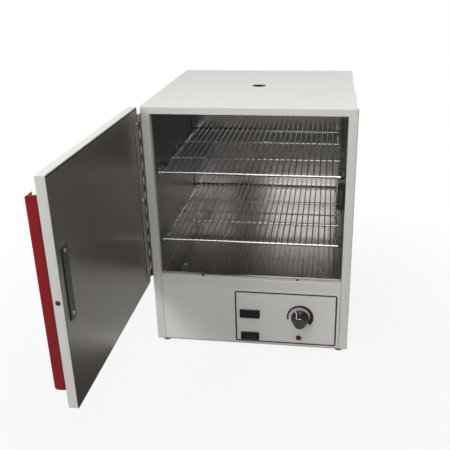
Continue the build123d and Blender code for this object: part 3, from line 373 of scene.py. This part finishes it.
def brushed_sheet(name, colour, roughness=0.18, fine=2600, depth=3.0e-6, upright=False):
    """Brushed stainless: fine scratches along the grain, with broader streaks and faint smudges. Unless
    upright, the side walls are rougher and darkened as painted shade.
    """
    finish = Finish(name, metallic=1.0)
    sideways = 0.0
    if upright:
        upright_grain = (fine, fine, grain_along)
        scratches = finish.noise(1, detail=3, place=finish.stretched(upright_grain), roughness=0.6)
        streaks = finish.noise(
            1, detail=4, place=finish.stretched((streak_across, streak_across, streak_along))
        )
    else:
        facing = finish.node("ShaderNodeTexCoord", out="Normal")
        level = finish.node("ShaderNodeSeparateXYZ", inputs={0: facing}, out="Z").size().above(0.7)
        sideways = finish.node("ShaderNodeSeparateXYZ", inputs={0: facing}, out="X").size().above(0.7)
        wall_grain = (grain_along, grain_along, fine)
        floor_grain = (grain_along, fine, grain_along)
        on_wall = finish.noise(1, detail=3, place=finish.stretched(wall_grain), roughness=0.6)
        on_floor = finish.noise(1, detail=3, place=finish.stretched(floor_grain), roughness=0.6)
        scratches = on_wall * (1 - level) + on_floor * level
        wall_streaks = finish.noise(
            1, detail=4, place=finish.stretched((streak_along, streak_along, streak_across))
        )
        floor_streaks = finish.noise(
            1, detail=4, place=finish.stretched((streak_along, streak_across, streak_along))
        )
        streaks = wall_streaks * (1 - level) + floor_streaks * level
    smudges = finish.noise(5, detail=3)
    tone = 0.75 * streaks + 0.25 * smudges
    brushed = finish.colours(tone, shaded(colour, 0.9), shaded(colour, 1.1))
    finish.feed(
        # The side walls get a darker colour: painted shade on the same steel as the back and floor.
        base_color=finish.colours(sideways, brushed, shaded(colour, side_wall_painted_shade)),
        roughness=roughness - 0.02 + 0.04 * smudges + side_roughness * sideways,
        normal=finish.bump(scratches, depth),
    )
    return finish


liner_steel = brushed_sheet("liner steel", steel_colour)
dress(liner_steel, "chamber_liner", "port_sleeve")
dress(brushed_sheet("tray steel", steel_colour, roughness=0.14), "floor_pan")
dress_screws("floor_screws", (0, 0, 1), radius=0.0034, rise=0.0018)


# Outer wrapper.
# One sheet of steel folded round the sides, the top and the front frame, and powder-coated
# off-white. The port hole in its top is punched.
case_paint = powder_coat("case paint", paint_colour)
dress(case_paint, "outer_wrapper")


# Control panel, its printed film and the sill.
# The panel is folded from the same coated sheet. A light grey film is stuck to its face, with a
# maroon frame round the controls, and two blackened screws hold the sill.
film_colour = (0.80, 0.80, 0.77)
maroon = (0.090, 0.010, 0.017)
ink_height = 0.00006
frame_line = 0.0027
frame_corner = 0.0035
frame_left = -0.0260
frame_right = 0.1488
frame_bottom = 0.0130
frame_top = 0.1130

dress(powder_coat("panel paint", paint_colour), "control_panel")
dress_screws("sill_screws", (0, 0, 1), radius=0.0022, rise=0.0012, finish=screw_black)

film = Finish("panel film")
film_uneven = film.noise(6, detail=2)
film_grain = film.noise(1800, detail=1)
film.feed(
    base_color=film.colours(film_uneven, shaded(film_colour, 0.965), film_colour),
    roughness=0.30 + 0.10 * film_uneven,
    normal=film.bump(film_grain, 4.0e-6),
)
dress(film, "panel_overlay")

ink = Finish("maroon ink", roughness=0.42)
ink_cover = ink.noise(900, detail=2)
ink.feed(
    base_color=ink.colours(ink_cover, shaded(maroon, 0.85), shaded(maroon, 1.3)),
    normal=ink.bump(ink_cover, 8.0e-6),
)

film_low, film_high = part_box("panel_overlay")
cabinet_middle = (film_low.x + film_high.x) / 2
film_face = film_low.y
printed_frame = begin(
    "printed_frame", bpy.ops.mesh.primitive_plane_add,
    scale=(frame_right - frame_left, frame_top - frame_bottom, 1), size=1, rotation=(math.pi / 2, 0, 0),
    location=(cabinet_middle + (frame_left + frame_right) / 2, film_face, (frame_bottom + frame_top) / 2),
)
settle(printed_frame)
bpy.ops.object.mode_set(mode="EDIT")
bpy.ops.mesh.select_all(action="SELECT")
bpy.ops.mesh.bevel(affect="VERTICES", offset=frame_corner, segments=8)
bpy.ops.mesh.select_all(action="SELECT")
bpy.ops.mesh.inset(thickness=frame_line)
bpy.ops.mesh.delete(type="FACE")
bpy.ops.object.mode_set(mode="OBJECT")
modified(printed_frame, "SOLIDIFY", thickness=ink_height, offset=1)
attach(printed_frame, ink)


# Display.
# A liquid-crystal thermometer behind a smoked window, in a black bezel that snaps into the panel.
dress(moulded("bezel plastic", (0.018, 0.018, 0.018), roughness=0.38), "display_bezel")
window = Finish("smoked window", roughness=0.08, coat_weight=0.5)
window_depth = window.noise(25, detail=2)
window.feed(base_color=window.colours(window_depth, (0.012, 0.012, 0.011), (0.03, 0.031, 0.028)))
dress(window, "display_window")


# Power rocker.
# A black snap-in switch; its paddle is glossier than its frame.
dress(moulded("switch frame", (0.018, 0.018, 0.019), roughness=0.42), "rocker_housing")
dress(moulded("switch paddle", (0.022, 0.022, 0.024), roughness=0.22, depth=6.0e-6), "rocker_paddle")


# Dial print, thermostat spindle and knob.
# The dial is a maroon arc that swells clockwise round the knob. The knob is moulded black, with a
# fluted grip, a white pointer line and a spun aluminium cap.
arc_start = math.radians(196)
arc_end = math.radians(-42)
arc_outer = 0.0230
arc_thin = 0.0030
arc_thick = 0.0080
arc_steps = 72
arc_swell = 1.6
arc_inset = 0.9

knob_low, knob_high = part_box("knob_body")
knob_middle = (knob_low + knob_high) / 2
dial_arc = begin(
    "dial_arc", bpy.ops.mesh.primitive_circle_add,
    vertices=arc_steps, radius=arc_outer, location=(knob_middle.x, film_face, knob_middle.z),
    rotation=(math.pi / 2, 0, 0),
)
settle(dial_arc)
bpy.ops.object.mode_set(mode="EDIT")
bpy.ops.mesh.select_all(action="SELECT")
bpy.ops.mesh.extrude_edges_move()
bpy.ops.transform.resize(
    value=(arc_inset, 1, arc_inset), center_override=(knob_middle.x, film_face, knob_middle.z)
)
shape = bmesh.from_edit_mesh(dial_arc.data)
shape.verts.ensure_lookup_table()
spare = []
for vertex in shape.verts:
    across = vertex.co.x - knob_middle.x
    up = vertex.co.z - knob_middle.z
    angle = math.atan2(up, across)
    if angle < arc_start - 2 * math.pi:
        angle += 2 * math.pi
    if not arc_end <= angle <= arc_start:
        spare.append(vertex)
    elif math.hypot(across, up) < arc_outer * (1 + arc_inset) / 2:
        share = (arc_start - angle) / (arc_start - arc_end)
        reach = arc_outer - arc_thin - (arc_thick - arc_thin) * share ** arc_swell
        vertex.co.x = knob_middle.x + reach * math.cos(angle)
        vertex.co.z = knob_middle.z + reach * math.sin(angle)
bmesh.ops.delete(shape, geom=spare, context="VERTS")
bmesh.update_edit_mesh(dial_arc.data)
bpy.ops.mesh.select_all(action="SELECT")
bpy.ops.mesh.normals_make_consistent(inside=False)
bpy.ops.object.mode_set(mode="OBJECT")
if dial_arc.data.polygons[0].normal.y > 0:
    dial_arc.data.flip_normals()
modified(dial_arc, "SOLIDIFY", thickness=ink_height, offset=1)
attach(dial_arc, ink)

dress(plated("nut plate", (0.50, 0.50, 0.50), roughness=0.3), "thermostat_nut", "thermostat_shaft")
dress(moulded("knob plastic", (0.020, 0.019, 0.019), roughness=0.34), "knob_body")
dress(moulded("pointer enamel", (0.75, 0.75, 0.74), roughness=0.4), "knob_pointer")

cap_ring_rate = 14000
cap = Finish("spun aluminium", metallic=1.0)
cap_place = cap.node("ShaderNodeMapping", inputs={"Vector": cap.place, "Location": -knob_middle})
cap_sides = cap.node("ShaderNodeSeparateXYZ", inputs={0: cap_place}, out="X")
cap_up = cap.node("ShaderNodeSeparateXYZ", inputs={0: cap_place}, out="Z")
cap_square = cap_sides * cap_sides + cap_up * cap_up
cap_turns = cap_square.maths("SQRT", cap_square) * cap_ring_rate
cap_rings = cap_turns.maths("SINE", cap_turns)
cap_clouds = cap.noise(160, detail=3)
cap.feed(
    base_color=cap.colours(cap_clouds, (0.42, 0.41, 0.39), (0.66, 0.64, 0.61)),
    roughness=0.2 + 0.1 * cap_clouds,
    normal=cap.bump(0.5 + 0.5 * cap_rings, 1.4e-5),
)
dress(cap, "knob_cap")


# Pilot lamp.
# A dark red lens, prismatic inside, in a thin ring.
lens = Finish("pilot lens", roughness=0.15, coat_weight=0.6)
lens_prisms = lens.noise(520, detail=1)
lens.feed(
    base_color=lens.colours(lens_prisms, (0.07, 0.006, 0.006), (0.20, 0.02, 0.018)),
    normal=lens.bump(lens_prisms, 5.0e-5),
)
dress(lens, "pilot_lens")
dress(plated("lamp ring", (0.16, 0.03, 0.035), roughness=0.35), "pilot_bezel")


# Wire shelves and their clips.
# Plated round wire, spot-welded: thin wires from front to back over four bright cross rods
# and two side rods. The thin wires are rougher and darkened as painted shade. The clips are bent from
# steel strip and riveted to the walls.
thin_wire_depth = 0.0020
rod_shadow = (0.50, 0.495, 0.49)
rod_light = (0.78, 0.775, 0.77)
thin_wire_painted_shade = (0.40, 0.395, 0.39)

for shelf in ("upper_shelf", "lower_shelf"):
    plate = Finish(f"{shelf} plate", metallic=1.0)
    shelf_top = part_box(shelf)[1].z
    height = plate.node("ShaderNodeSeparateXYZ", inputs={0: plate.place}, out="Z")
    # The thin wires above the rods are coloured darker: painted shade. They are also rougher.
    thin = height.above(shelf_top - thin_wire_depth)
    clouds = plate.noise(240, detail=4)
    plate.feed(
        base_color=plate.colours(thin, plate.colours(clouds, rod_shadow, rod_light), thin_wire_painted_shade),
        roughness=0.12 + 0.14 * clouds + 0.12 * thin,
        normal=plate.bump(plate.noise(1200, detail=2), 8.0e-6),
    )
    dress(plate, shelf)
dress(plated("clip steel", (0.50, 0.49, 0.47), roughness=0.26), "upper_shelf_clips", "lower_shelf_clips")


# Door pan, inner panel and the bead of sealant along their joint.
# The pan is coated like the case. The inner panel is brushed stainless with an upright grain,
# bonded over the pan with dark sealant that shows as an uneven line along its top.
dress(powder_coat("door paint", paint_colour), "door_outer")
# Its colour is darker than the liner's steel: painted shade for a panel that faces away from the lamps.
door_steel = brushed_sheet("door steel", (0.37, 0.35, 0.33), roughness=0.34, upright=True)
dress(door_steel, "door_inner_panel")
dress(moulded("edge plug plastic", (0.05, 0.045, 0.045), roughness=0.5), "door_edge_plug")

sealant_width = 0.0020
sealant_depth = 0.0009
sealant_rise = 0.0001
sealant_inset = 0.0020
sealant_steps = 110
sealant_sway = 0.0008
sealant_flattening = 0.05
inner_low, inner_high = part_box("door_inner_panel")
inner_middle = (inner_low + inner_high) / 2
sealant_place = (inner_high.x + sealant_rise, inner_middle.y, inner_high.z - sealant_inset)
sealant = begin(
    "door_sealant", bpy.ops.mesh.primitive_grid_add,
    scale=(sealant_width, inner_high.y - inner_low.y, 1), size=1, x_subdivisions=2,
    y_subdivisions=sealant_steps, rotation=(0, math.pi / 2, 0), location=sealant_place,
)
settle(sealant)
bpy.ops.object.mode_set(mode="EDIT")
bpy.ops.mesh.select_all(action="SELECT")
bpy.ops.transform.vertex_random(offset=sealant_sway, uniform=0, normal=0, seed=7)
bpy.ops.transform.resize(value=(sealant_flattening, 1, 1), center_override=sealant_place)
bpy.ops.object.mode_set(mode="OBJECT")
modified(sealant, "SOLIDIFY", thickness=sealant_depth, offset=-1)
attach(sealant, moulded("dark sealant", (0.035, 0.03, 0.028), roughness=0.55), "door")


# Pull channel.
# A channel of folded steel in glossy red enamel, screwed to the door through its base flange.
enamel_red = (0.30, 0.010, 0.014)
enamel = Finish("red enamel", coat_weight=0.08, coat_roughness=0.15)
enamel_flow = enamel.noise(18, detail=3)
enamel_peel = enamel.noise(330, detail=2)
enamel.feed(
    base_color=enamel.colours(enamel_flow, shaded(enamel_red, 0.86), shaded(enamel_red, 1.12)),
    roughness=0.26 + 0.1 * enamel_flow,
    normal=enamel.bump(enamel_peel, 1.2e-5),
)
dress(enamel, "door_handle")
dress_screws("handle_screws", (-1, 0, 0), radius=0.0034, rise=0.002, body="door")


# Piano hinge.
# Two leaves of stainless strip rolled round a steel pin, with flat-headed screws.
hinge_steel = brushed_sheet("hinge steel", (0.36, 0.33, 0.315), roughness=0.32, upright=True)
dress(hinge_steel, "hinge_door_leaf", "hinge_cabinet_leaf")
dress(plated("pin steel", (0.45, 0.44, 0.43), roughness=0.3), "hinge_pin")
dress_screws("hinge_leaf_screws_door", (1, 0, 0), radius=0.003, rise=0.001, body="door")
dress_screws("hinge_leaf_screws_cabinet", (-1, 0, 0), radius=0.003, rise=0.001)


# Magnetic catch and its strike.
# A black moulded block with a ceramic magnet at the right of the opening, and a steel strip on the
# door that it holds.
dress(moulded("catch plastic", (0.016, 0.016, 0.016), roughness=0.5), "catch_body")
dress(plated("magnet poles", (0.16, 0.155, 0.15), roughness=0.45), "catch_magnet")
dress(plated("strike steel", (0.15, 0.142, 0.135), roughness=0.42, flow=(1, 1, 0.1)), "strike_plate")
dress_screws("strike_screws", (1, 0, 0), radius=0.003, rise=0.001, body="door")


# Studio.
# A pale floor under soft lamps. Cards that only reflections see stand in for the room: dull ones
# before the case, on the table and at the right, and a bright one just in front of the camera.
floor_radius = 8.0
floor_colour = (0.84, 0.84, 0.83)
near_floor = 0.30
far_floor = 0.75
floor_glow = 0.85
fill_level = 0.17

floor = begin(
    "studio_floor", bpy.ops.mesh.primitive_circle_add, vertices=96, radius=floor_radius, fill_type="NGON"
)
settle(floor)
ground = Finish("pale floor", roughness=0.9)
ground.feed(base_color=ground.colours(ground.noise(3), shaded(floor_colour, 0.99), floor_colour))
light_path = ground.node("ShaderNodeLightPath", out="Is Camera Ray")
seen = light_path + ground.node("ShaderNodeLightPath", out="Is Glossy Ray")
seen = seen + ground.node("ShaderNodeLightPath", out="Is Transmission Ray")
distance = ground.node("ShaderNodeVectorMath", {"operation": "LENGTH"}, {0: ground.place}, out="Value")
far = ground.node(
    "ShaderNodeMapRange",
    inputs={"Value": distance, "From Min": near_floor, "From Max": far_floor, "To Min": floor_glow},
)
white = ground.node("ShaderNodeEmission", inputs={"Color": (1, 1, 1, 1), "Strength": 1.0})
surface = ground.node(
    "ShaderNodeMixShader",
    inputs={0: seen * far, 1: Socket(ground, ground.shader.outputs[0]), 2: white},
)
ground.link(ground.tree.nodes["Material Output"].inputs["Surface"], surface)
floor.data.materials.append(ground.material)

world = bpy.data.worlds.new("studio")
bpy.context.scene.world = world
world.use_nodes = True
sky = world.node_tree
background = sky.nodes["Background"]
path = sky.nodes.new("ShaderNodeLightPath")
shown = sky.nodes.new("ShaderNodeMath")
shown.operation = "MAXIMUM"
sky.links.new(path.outputs["Is Camera Ray"], shown.inputs[0])
sky.links.new(path.outputs["Is Glossy Ray"], shown.inputs[1])
also = sky.nodes.new("ShaderNodeMath")
also.operation = "MAXIMUM"
sky.links.new(shown.outputs[0], also.inputs[0])
sky.links.new(path.outputs["Is Transmission Ray"], also.inputs[1])
level = sky.nodes.new("ShaderNodeMapRange")
level.inputs["To Min"].default_value = fill_level
sky.links.new(also.outputs[0], level.inputs["Value"])
sky.links.new(level.outputs[0], background.inputs["Strength"])
background.inputs["Color"].default_value = (1, 1, 1, 1)


def studio_card(name, corners, glow):
    """A card that only reflections see, between four corners."""
    card = begin(name, bpy.ops.mesh.primitive_plane_add, size=1)
    for vertex, corner in zip(card.data.vertices, corners):
        vertex.co = corner
    finish = Finish(name, roughness=1.0)
    finish.shader.inputs["Base Color"].default_value = (0, 0, 0, 1)
    finish.shader.inputs["Emission Strength"].default_value = 1.0
    finish.feed(emission_color=finish.colours(finish.noise(2), shaded(glow, 0.85), shaded(glow, 1.15)))
    card.data.materials.append(finish.material)
    for ray in ("camera", "diffuse", "shadow", "transmission", "volume_scatter"):
        setattr(card, f"visible_{ray}", False)


def standing(left, right, low, high):
    """Corners of an upright card over two places on the floor."""
    return [(*foot, height) for height in (low, high) for foot in (left, right)]


room_glow = (0.070, 0.063, 0.055)
room_reach = 4
room_front = -0.80
table_glow = (0.068, 0.062, 0.058)
table_reach = 1.0
table_edge = -0.02
table_lift = 0.001
window_glow = (3.2, 3.2, 3.25)
window_front = -0.79
window_left = -0.088
window_right = 0.40
window_low = 0.41
window_high = 0.76
side_glow = (0.17, 0.158, 0.145)
side_place = 1.1

room_corners = standing((-room_reach, room_front), (room_reach, room_front), 0, room_reach)
studio_card("room_card", room_corners, room_glow)
table_corners = [(x, y, table_lift) for y in (room_front, table_edge) for x in (-table_reach, table_reach)]
studio_card("table_card", table_corners, table_glow)
window_feet = ((window_left, window_front), (window_right, window_front))
studio_card("window_card", standing(*window_feet, window_low, window_high), window_glow)
side_corners = standing((side_place, -room_reach), (side_place, room_reach), 0, room_reach)
studio_card("side_card", side_corners, side_glow)


def softbox(name, place, target, width, power):
    """A square area lamp that looks at a point."""
    lamp = bpy.data.lights.new(name, "AREA")
    lamp.size = width
    lamp.energy = power
    holder = bpy.data.objects.new(name, lamp)
    bpy.context.scene.collection.objects.link(holder)
    holder.location = place
    holder.rotation_euler = (Vector(target) - Vector(place)).to_track_quat("-Z", "Y").to_euler()


softbox("overhead softbox", place=(0.05, -0.30, 1.30), target=(0, 0.05, 0.25), width=0.8, power=6.4)
softbox("front softbox", place=(-0.90, -1.30, 1.10), target=(0, 0, 0.25), width=0.7, power=12.0)
softbox("rear softbox", place=(0.80, 1.70, 0.90), target=(0, 0.3, 0.25), width=0.8, power=9.0)


# Camera.
# Its place, turn and lens are those that were solved from the case's edges in the photograph. The
# shift is small and puts the lens's axis where the solution has it.
lens_pixels = 611.8
picture_width = 450.0
sensor_width = 36.0
middle_across = 244.0
middle_down = 203.0
yaw, pitch, roll = -0.141, 0.377, -0.019
camera_place = Vector((cabinet_middle + 0.1221, -0.9083, 0.6385))

camera_data = bpy.data.cameras.new("camera")
camera_data.sensor_width = sensor_width
camera_data.lens = lens_pixels / picture_width * sensor_width
camera_data.shift_x = 0.5 - middle_across / picture_width
camera_data.shift_y = middle_down / picture_width - 0.5
camera = bpy.data.objects.new("camera", camera_data)
bpy.context.scene.collection.objects.link(camera)
ahead = Vector((math.sin(yaw) * math.cos(pitch), math.cos(yaw) * math.cos(pitch), -math.sin(pitch)))
level_right = ahead.cross(Vector((0, 0, 1))).normalized()
level_up = level_right.cross(ahead)
right = level_right * math.cos(roll) + level_up * math.sin(roll)
up = level_up * math.cos(roll) - level_right * math.sin(roll)
camera.matrix_world = Matrix.Translation(camera_place) @ Matrix((right, up, -ahead)).transposed().to_4x4()
bpy.context.scene.camera = camera
bpy.context.scene.view_settings.view_transform = "Standard"
